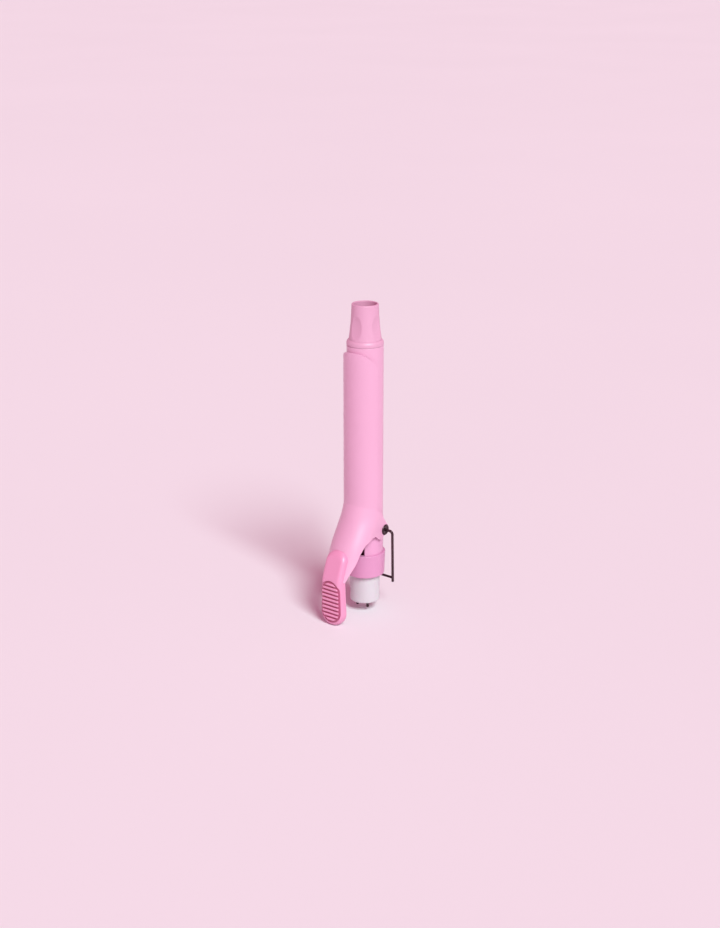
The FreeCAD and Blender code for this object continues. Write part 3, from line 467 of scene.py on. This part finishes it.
def armOut(z, crest=0.0):      # the bend starts higher on the crest and gathers lower down
    t = clamp
    upper = t["kneeOut"] / (t["bendZ"] - t["kneeZ"])
    lower = (t["endOut"] - t["kneeOut"]) / (t["kneeZ"] - t["endZ"])
    share = t["sag"] / (t["rise"] + t["sag"])
    out = upper * share * softCorner(t["bendZ"] + t["rise"] * crest - z, t["crease"])
    out += upper * (1 - share) * softCorner(t["bendZ"] - t["sag"] * crest - z, t["crease"] + 5 * crest)
    return out - (upper - lower) * softCorner(t["kneeZ"] - z, t["kneeSoft"])


def wrap(s, z, radius):
    quarter = pi / 2 * clamp["outer"]
    if abs(s) <= quarter:
        turn = s / clamp["outer"]
        return Vector((radius * sin(turn), -(armOut(z, cos(turn)) + radius * cos(turn)), z))
    return Vector((radius if s > 0 else -radius, -(armOut(z) - (abs(s) - quarter)), z))


def unwrap(out, z):
    t = clamp
    ahead = out - armOut(z)
    if ahead > 0:
        return t["outer"] * acos(min(1, ahead / t["outer"]))
    return pi / 2 * t["outer"] - ahead


def clampPattern(top):
    t = clamp
    rim = [(0, top)]
    flat = t["outer"] * sin(acos(t["edge"] / t["outer"])) - t["tipRound"]
    for step in range(13):
        a = radians(90 * step / 12)
        rim.append((t["outer"] * asin((flat + t["tipRound"] * sin(a)) / t["outer"]),
                    top - t["tipRound"] + t["tipRound"] * cos(a)))
    for spot in t["sideLine"]:
        if spot == "ear":
            out, z = t["hinge"]
            for step in range(9):
                a = radians(140 + 115 * step / 8)
                rim.append((unwrap(out + t["ear"] * cos(a), z + t["ear"] * sin(a)), z + t["ear"] * sin(a)))
        else:
            rim.append((unwrap(*spot), spot[1]))
    rim.append((0, rim[-1][1]))
    return rim


def insidePattern(s, z, rim):
    inside = False
    for (s1, z1), (s2, z2) in zip(rim, rim[1:] + rim[:1]):
        if (z1 > z) != (z2 > z) and s < s1 + (z - z1) * (s2 - s1) / (z2 - z1):
            inside = not inside
    return inside


def trimToPattern(bm, rim):
    for (s1, z1), (s2, z2) in zip(rim, rim[1:]):
        reach = clamp["cell"] * 1.5
        lowS, highS = min(s1, s2) - reach, max(s1, s2) + reach
        lowZ, highZ = min(z1, z2) - reach, max(z1, z2) + reach
        near = [f for f in bm.faces
                if lowS < f.calc_center_median().x < highS and lowZ < f.calc_center_median().z < highZ]
        geom = list({v for f in near for v in f.verts}) + list({e for f in near for e in f.edges}) + near
        normal = Vector((z2 - z1, 0, s1 - s2)).normalized()
        bmesh.ops.bisect_plane(bm, geom=geom, dist=0.02, plane_co=(s1, 0, z1), plane_no=normal)
    closed = [(-5.0, rim[0][1])] + rim + [(-5.0, rim[-1][1])]
    outside = [f for f in bm.faces
               if not insidePattern(f.calc_center_median().x, f.calc_center_median().z, closed)]
    bmesh.ops.delete(bm, geom=outside, context="FACES")


def makeClamp():
    t = clamp
    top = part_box("clamp_shell")[1].z / mm
    rim = clampPattern(top)
    wide = max(s for s, z in rim) + 3
    low = rim[-1][1] - 2
    high = top + 2
    bm = bmesh.new()
    columns, rows = int(wide / t["cell"]), int((high - low) / t["cell"])
    bmesh.ops.create_grid(bm, x_segments=columns, y_segments=rows, size=1)
    for point in bm.verts:
        point.co = Vector(((point.co.x + 1) / 2 * wide, 0, low + (point.co.y + 1) / 2 * (high - low)))
    for above in t["creaseRows"]:
        bmesh.ops.bisect_plane(bm, geom=bm.verts[:] + bm.edges[:] + bm.faces[:], dist=0.02,
                               plane_co=(0, 0, t["bendZ"] + above), plane_no=(0, 0, 1))
    for point in bm.verts:
        share = cos(min(pi / 2, point.co.x / t["outer"]))
        point.co.z += t["rise"] * share * exp(-((point.co.z - t["bendZ"]) / t["riseLong"]) ** 2)
    trimToPattern(bm, rim)
    eyeS = unwrap(*t["hinge"])
    eyeSpot = Vector((eyeS, 0, t["hinge"][1]))
    eyeTurns = [a * pi / 12 for a in range(25)]
    eyeRing = [(eyeS + t["eye"] * cos(a), eyeSpot.z + t["eye"] * sin(a)) for a in eyeTurns]
    for (s1, z1), (s2, z2) in zip(eyeRing, eyeRing[1:]):
        near = [f for f in bm.faces if (f.calc_center_median() - eyeSpot).length < 5]
        geom = list({v for f in near for v in f.verts}) + list({e for f in near for e in f.edges}) + near
        bmesh.ops.bisect_plane(bm, geom=geom, dist=0.01, plane_co=(s1, 0, z1),
                               plane_no=Vector((z2 - z1, 0, s1 - s2)).normalized())
    hole = [f for f in bm.faces if (f.calc_center_median() - eyeSpot).length < t["eye"] - 0.05]
    bmesh.ops.delete(bm, geom=hole, context="FACES")
    bmesh.ops.triangulate(bm, faces=[f for f in bm.faces if len(f.verts) > 4])
    mirror = bmesh.ops.duplicate(bm, geom=bm.verts[:] + bm.edges[:] + bm.faces[:])
    copied = [item for item in mirror["geom"] if isinstance(item, bmesh.types.BMVert)]
    bmesh.ops.scale(bm, vec=(-1, 1, 1), verts=copied)
    bmesh.ops.remove_doubles(bm, verts=bm.verts, dist=0.01)
    for point in bm.verts:
        s, z = point.co.x, point.co.z
        near = max(0, (z - top) / t["dipLong"] + 1)
        point.co = wrap(s, z, t["outer"] - t["dip"] * near * near)
    bmesh.ops.recalc_face_normals(bm, faces=bm.faces)
    crest = min(bm.faces, key=lambda f: f.calc_center_median().y)
    if crest.normal.y > 0:
        bmesh.ops.reverse_faces(bm, faces=bm.faces)
    piece = finishPiece(bm, "clampShell", "clamp_shell", sharp=50, recalc=False)
    wall = piece.modifiers.new("wall", "SOLIDIFY")
    wall.thickness = t["wall"] * mm
    wall.offset = -1
    wall.use_even_offset = True
    rolled = piece.modifiers.new("rolledEdge", "BEVEL")
    rolled.width = t["rolled"] * mm
    rolled.segments = 4
    rolled.limit_method = "ANGLE"
    rolled.angle_limit = radians(55)
    rolled.use_clamp_overlap = True
    bake(piece)
    piece.data.set_sharp_from_angle(angle=radians(50))


def thumbOutline(bm, half, foot, top, topHigh):      # round at the foot, flatter at the top
    bmesh.ops.create_circle(bm, segments=72, radius=half, cap_ends=True)
    bmesh.ops.rotate(bm, verts=bm.verts, matrix=Matrix.Rotation(pi / 72, 3, "Z"))
    for point in bm.verts:
        if point.co.y > 0:
            point.co.y = top - topHigh + point.co.y * topHigh / half
        else:
            point.co.y += foot + half


def gridCut(bm, axis, start, end, step):
    place = start
    while place < end:
        bmesh.ops.bisect_plane(bm, geom=bm.verts[:] + bm.edges[:] + bm.faces[:], dist=0.01,
                               plane_co=tuple(place * a for a in axis), plane_no=axis)
        place += step


def roundOff(bm, faces, size, way):      # rounds a flat cap's edge over by quarter-circle steps
    steps = 7
    for step in range(steps):
        a, b = pi / 2 * step / steps, pi / 2 * (step + 1) / steps
        bmesh.ops.inset_region(bm, faces=faces, thickness=size * (cos(a) - cos(b)), depth=0,
                               use_even_offset=True, use_boundary=True)
        bmesh.ops.translate(bm, vec=(0, 0, way * size * (sin(b) - sin(a))),
                            verts=list({v for f in faces for v in f.verts}))


def makeThumbRest():
    t = thumb
    bm = bmesh.new()
    thumbOutline(bm, t["half"], t["foot"], t["top"], t["topRound"])
    raised = bmesh.ops.extrude_face_region(bm, geom=bm.faces[:])
    lifted = [item for item in raised["geom"] if isinstance(item, bmesh.types.BMVert)]
    bmesh.ops.translate(bm, vec=(0, 0, t["deep"] - t["edgeRound"] - t["backRound"]), verts=lifted)
    roundOff(bm, [f for f in bm.faces if all(v in lifted for v in f.verts)], t["edgeRound"], 1)
    back = [f for f in bm.faces if len(f.verts) > 8 and f.calc_center_median().z < 0.01]
    roundOff(bm, back, t["backRound"], -1)
    bmesh.ops.translate(bm, vec=(0, 0, t["backRound"]), verts=bm.verts)
    gridCut(bm, (0, 1, 0), t["foot"] + 1, t["top"], 1.5)
    gridCut(bm, (1, 0, 0), -8.25, 9, 2.75)
    for point in bm.verts:
        share = point.co.z / t["deep"]
        z = point.co.y
        outer = thumbFace(z)
        narrow = min(1, max(0, (z - t["taperFoot"]) / t["taperLong"]))
        across = point.co.x * (1 - narrow * (1 - t["topHalf"] / t["half"]))
        onArm = armOut(z) + sqrt(t["armInner"] ** 2 - across ** 2)
        free = thumbFace(t["foot"] + (z - t["foot"]) * t["backFollow"]) - t["deep"]
        back = free - softCorner(free - onArm, t["backSoft"])
        point.co = Vector((across, -(outer * share + back * (1 - share)), z))
    piece = finishPiece(bm, "thumbRest", "thumb_rest", sharp=45)
    cutter = padCutter()
    sink = piece.modifiers.new("padRecess", "BOOLEAN")
    sink.object = cutter
    sink.operation = "DIFFERENCE"
    sink.solver = "EXACT"
    soft = piece.modifiers.new("softEdge", "BEVEL")
    soft.width = t["softEdge"] * mm
    soft.segments = 2
    soft.limit_method = "ANGLE"
    soft.angle_limit = radians(50)
    bake(piece)
    piece.data.set_sharp_from_angle(angle=radians(45))
    bpy.data.objects.remove(cutter)


def padPlace(across, high, along):      # a point over the pad's middle, standing out of the face
    lean = radians(thumb["padLean"])
    out = thumbFace(thumb["padZ"]) + along * sin(lean) + high
    return Vector((across, -out, thumb["padZ"] + along * cos(lean)))


def stadium(bm, half, reach, low, high, soft=0.0):
    plate = bmesh.ops.create_circle(bm, segments=72, radius=half, cap_ends=True)["verts"]
    bmesh.ops.rotate(bm, verts=plate, matrix=Matrix.Rotation(pi / 72, 3, "Z"))
    for point in plate:
        point.co.y += (reach - half) * (1 if point.co.y > 0 else -1)
        point.co.z = low
    raised = bmesh.ops.extrude_face_region(bm, geom=bm.faces[:])
    lifted = [item for item in raised["geom"] if isinstance(item, bmesh.types.BMVert)]
    bmesh.ops.translate(bm, vec=(0, 0, high - low), verts=lifted)
    if soft:
        rim = [e for e in bm.edges if all(v in lifted for v in e.verts)]
        bmesh.ops.bevel(bm, geom=rim, offset=soft, offset_type="OFFSET", segments=3, profile=0.5,
                        affect="EDGES", material=-1, clamp_overlap=True)


def padCutter():
    t = thumb
    bm = bmesh.new()
    stadium(bm, t["padHalf"] + t["padGap"], t["padLong"] / 2 + t["padGap"], -t["padSunk"], 6.0)
    for point in bm.verts:
        point.co = padPlace(point.co.x, point.co.z, point.co.y)
    faceOutward(bm)
    bmesh.ops.scale(bm, vec=(mm, mm, mm), verts=bm.verts)
    mesh = bpy.data.meshes.new("padCutter")
    bm.to_mesh(mesh)
    bm.free()
    tool = bpy.data.objects.new("padCutter", mesh)
    bpy.context.scene.collection.objects.link(tool)
    return tool


def padRib(bm, middle):
    t = thumb
    half, reach = t["padHalf"] - t["ribBack"], t["padLong"] / 2 - t["ribBack"]
    ends = []
    for along in (middle - t["ribWide"] / 2, middle + t["ribWide"] / 2):
        past = max(0, abs(along) - (reach - half))
        ends.append((sqrt(max(half * half - past * past, 1.0)), along))
    (w1, y1), (w2, y2) = ends
    corners = ((-w1, y1), (w1, y1), (w2, y2), (-w2, y2))
    ring = [bm.verts.new((x, y, -t["padSunk"] + t["ribFoot"])) for x, y in corners]
    foot = bm.faces.new(ring)
    raised = bmesh.ops.extrude_face_region(bm, geom=[foot])["geom"]
    lifted = [item for item in raised if isinstance(item, bmesh.types.BMVert)]
    bmesh.ops.translate(bm, vec=(0, 0, t["ribHigh"]), verts=lifted)
    edges = list({e for v in lifted for e in v.link_edges})
    bmesh.ops.bevel(bm, geom=edges, offset=t["ribSoft"], offset_type="OFFSET", segments=4, profile=0.5,
                    affect="EDGES", material=-1, clamp_overlap=True)


def makeGripPad():
    t = thumb
    bm = bmesh.new()
    low = -t["padSunk"] + 0.02
    stadium(bm, t["padHalf"], t["padLong"] / 2, low, -t["padSunk"] + t["padBase"], soft=0.3)
    for i in range(t["ribs"]):
        padRib(bm, (i - (t["ribs"] - 1) / 2) * t["ribPitch"])
    for point in bm.verts:
        point.co = padPlace(point.co.x, point.co.z, point.co.y)
    finishPiece(bm, "thumbGripPad", "thumb_grip_pad", sharp=50)


eyelet = {"bore": 1.27, "shank": 2.58, "head": 5.0, "thick": 0.9, "cup": 2.5, "inner": 10.0, "sunk": 0.35}
wire = {"radius": 1.2, "bend": 2.6, "out": 26.8, "start": 9.5, "footX": 19.3, "footY": 16.2, "footZ": -10.8,
        "barZ": -6.2, "barRadius": 1.1, "sides": 28, "endRound": 0.7}
hinge = Vector((0, 5.0, 43.0))


def makeEyelet(name, nodeName, side):
    t = eyelet
    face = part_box("hinge_eyelet_right")[1].x / mm
    bm = spun([(t["bore"], t["inner"], 0), (t["bore"], face - 0.5, 0.1), (t["cup"], face - t["sunk"], 0.25),
               (t["cup"] + 0.8, face, 0.4), (t["head"] - 0.5, face - 0.25, 0.35),
               (t["head"], face - t["thick"], 0.2), (t["shank"], face - t["thick"], 0),
               (t["shank"], t["inner"], 0), (t["bore"], t["inner"], 0)], segments=72)
    bmesh.ops.transform(bm, matrix=Matrix.Rotation(pi / 2, 4, "Y"), verts=bm.verts)
    bmesh.ops.translate(bm, vec=hinge, verts=bm.verts)
    if side < 0:
        bmesh.ops.scale(bm, vec=(-1, 1, 1), verts=bm.verts)
    finishPiece(bm, name, nodeName, sharp=50)


def makeRestLeg(name, nodeName, side):
    t = wire
    foot = Vector((t["footX"], t["footY"], t["footZ"]))
    bend = Vector((t["out"], hinge.y, hinge.z))
    down = (foot - bend).normalized()
    out = Vector((1, 0, 0))
    turn = out.angle(down)
    reach = t["bend"] * tan(turn / 2)
    axis = out.cross(down).normalized()
    centre = bend - out * reach + axis.cross(out) * t["bend"]
    bm = bmesh.new()
    bmesh.ops.create_circle(bm, segments=t["sides"], radius=t["radius"], cap_ends=False)
    bmesh.ops.transform(bm, matrix=Matrix.Rotation(pi / 2, 4, "Y"), verts=bm.verts)
    bmesh.ops.translate(bm, vec=(t["start"], hinge.y, hinge.z), verts=bm.verts)
    loop = bm.edges[:]
    bmesh.ops.contextual_create(bm, geom=loop)

    def carry(edges, vec):
        grown = bmesh.ops.extrude_edge_only(bm, edges=edges)["geom"]
        points = [i for i in grown if isinstance(i, bmesh.types.BMVert)]
        bmesh.ops.translate(bm, vec=vec, verts=points)
        return [i for i in grown if isinstance(i, bmesh.types.BMEdge) and all(v in points for v in i.verts)]

    loop = carry(loop, out * (t["out"] - reach - t["start"]))
    swept = bmesh.ops.spin(bm, geom=loop + list({v for e in loop for v in e.verts}), cent=centre, axis=axis,
                           dvec=(0, 0, 0), angle=turn, steps=12, use_merge=False)["geom_last"]
    loop = [i for i in swept if isinstance(i, bmesh.types.BMEdge)]
    cap = t["radius"] * t["endRound"]
    length = (foot - bend).length - reach - cap
    for step in range(6):
        loop = carry(loop, down * length / 6)
    for step in range(5):
        a, b = pi / 2 * step / 5, pi / 2 * (step + 1) / 5
        loop = carry(loop, down * cap * (sin(b) - sin(a)))
        points = list({v for e in loop for v in e.verts})
        middle = sum((v.co for v in points), Vector()) / len(points)
        shrink = max(cos(b), 0.06) / cos(a)
        for point in points:
            point.co = middle + (point.co - middle) * shrink
    bmesh.ops.contextual_create(bm, geom=loop)
    if side < 0:
        bmesh.ops.scale(bm, vec=(-1, 1, 1), verts=bm.verts)
    finishPiece(bm, name, nodeName, sharp=50)
    return bend, foot


def makeCrossbar(bend, foot):
    t = wire
    weld = bend + (foot - bend) * ((t["barZ"] - bend.z) / (foot.z - bend.z))
    end = weld.x - 0.3
    r = t["barRadius"]
    bm = spun([(0, -end, 0), (r + 0.35, -end, 0), (r, -end + 1.6, 0.9), (r, end - 1.6, 0.9),
               (r + 0.35, end, 0), (0, end, 0)], segments=28, rowStep=6)
    bmesh.ops.transform(bm, matrix=Matrix.Rotation(pi / 2, 4, "Y"), verts=bm.verts)
    bmesh.ops.translate(bm, vec=(0, weld.y, weld.z), verts=bm.verts)
    finishPiece(bm, "restCrossbar", "rest_crossbar", sharp=50)


makeCoolTip()
makeTipRing()
makeBarrel()
print("barrel, ring and cool tip turned")
makeSkirt()
makePlug()
makePins()
print("skirt, plug and contacts turned")
makeClamp()
makeThumbRest()
makeGripPad()
print("clamp pressed, thumb rest and pad moulded")
makeEyelet("hingeEyeletRight", "hinge_eyelet_right", 1)
makeEyelet("hingeEyeletLeft", "hinge_eyelet_left", -1)
bendSpot, footSpot = makeRestLeg("restLegRight", "rest_leg_right", 1)
makeRestLeg("restLegLeft", "rest_leg_left", -1)
makeCrossbar(bendSpot, footSpot)
print("eyelets and wire rest bent")


studio = {"floorColour": (0.845, 0.842, 0.874), "skyLow": (0.85, 0.60, 0.71), "skyHigh": (0.48, 0.14, 0.24),
          "azimuth": 38.0, "elevation": 19.0, "distance": 1.408, "lens": 62.07, "aimZ": 0.102,
          "aimLeft": 0.0044}
keySun = {"azimuth": 62, "elevation": 44, "strength": 3.0, "spread": 22, "colour": (0.88, 1.0, 0.98)}


def makeFloor():
    finish, nodes, links, shader = shaderNodes("studioFloor")
    place = nodes.new("ShaderNodeTexCoord")
    cloud = noise(nodes, links, place, 1.2, 2.0)
    soft = [channel * 0.985 for channel in studio["floorColour"]]
    tint = tinted(nodes, links, spread(nodes, links, cloud, 0, 1).outputs[0], soft, studio["floorColour"])
    links.new(tint, shader.inputs["Base Color"])
    shader.inputs["Roughness"].default_value = 0.9
    bm = bmesh.new()
    bmesh.ops.create_grid(bm, x_segments=4, y_segments=4, size=30)
    bmesh.ops.translate(bm, vec=(0, 0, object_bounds()[0].z), verts=bm.verts)
    mesh = bpy.data.meshes.new("studioFloor")
    bm.to_mesh(mesh)
    bm.free()
    floor = bpy.data.objects.new("studioFloor", mesh)
    bpy.context.scene.collection.objects.link(floor)
    mesh.materials.append(finish)


def lookFrom(azimuth, elevation):
    a, e = radians(azimuth), radians(elevation)
    return Vector((sin(a) * cos(e), -cos(a) * cos(e), sin(e)))


def makeSun():
    lamp = bpy.data.lights.new("keySun", "SUN")
    lamp.energy = keySun["strength"]
    lamp.angle = radians(keySun["spread"])
    lamp.color = keySun["colour"]
    holder = bpy.data.objects.new("keySun", lamp)
    bpy.context.scene.collection.objects.link(holder)
    back = lookFrom(keySun["azimuth"], keySun["elevation"])
    holder.location = Vector((0, 0, studio["aimZ"])) + back * 2
    holder.rotation_mode = "QUATERNION"
    holder.rotation_quaternion = (-back).to_track_quat("-Z", "Y")


def makeSky():      # pale at the horizon, deeper overhead
    sky = bpy.data.worlds.new("studioSky")
    sky.use_nodes = True
    nodes, links = sky.node_tree.nodes, sky.node_tree.links
    place = nodes.new("ShaderNodeTexCoord")
    height = nodes.new("ShaderNodeSeparateXYZ")
    links.new(place.outputs["Generated"], height.inputs[0])
    fade = nodes.new("ShaderNodeMapRange")
    fade.inputs["From Min"].default_value = 0.05
    fade.inputs["From Max"].default_value = 0.45
    links.new(height.outputs["Z"], fade.inputs["Value"])
    tint = tinted(nodes, links, fade.outputs[0], studio["skyLow"], studio["skyHigh"])
    links.new(tint, nodes["Background"].inputs["Color"])
    bpy.context.scene.world = sky


def makeCamera():
    s = studio
    back = lookFrom(s["azimuth"], s["elevation"])
    right = Vector((cos(radians(s["azimuth"])), sin(radians(s["azimuth"])), 0))
    aim = Vector((0, 0, s["aimZ"])) - right * s["aimLeft"]
    lens = bpy.data.cameras.new("studioCamera")
    lens.lens = s["lens"]
    lens.sensor_width = 36
    camera = bpy.data.objects.new("studioCamera", lens)
    bpy.context.scene.collection.objects.link(camera)
    camera.location = aim + back * s["distance"]
    camera.rotation_mode = "QUATERNION"
    camera.rotation_quaternion = (-back).to_track_quat("-Z", "Y")
    bpy.context.scene.camera = camera


makeFloor()
makeSun()
makeSky()
bpy.context.scene.view_settings.view_transform = "Standard"
makeCamera()
print("studio lit")
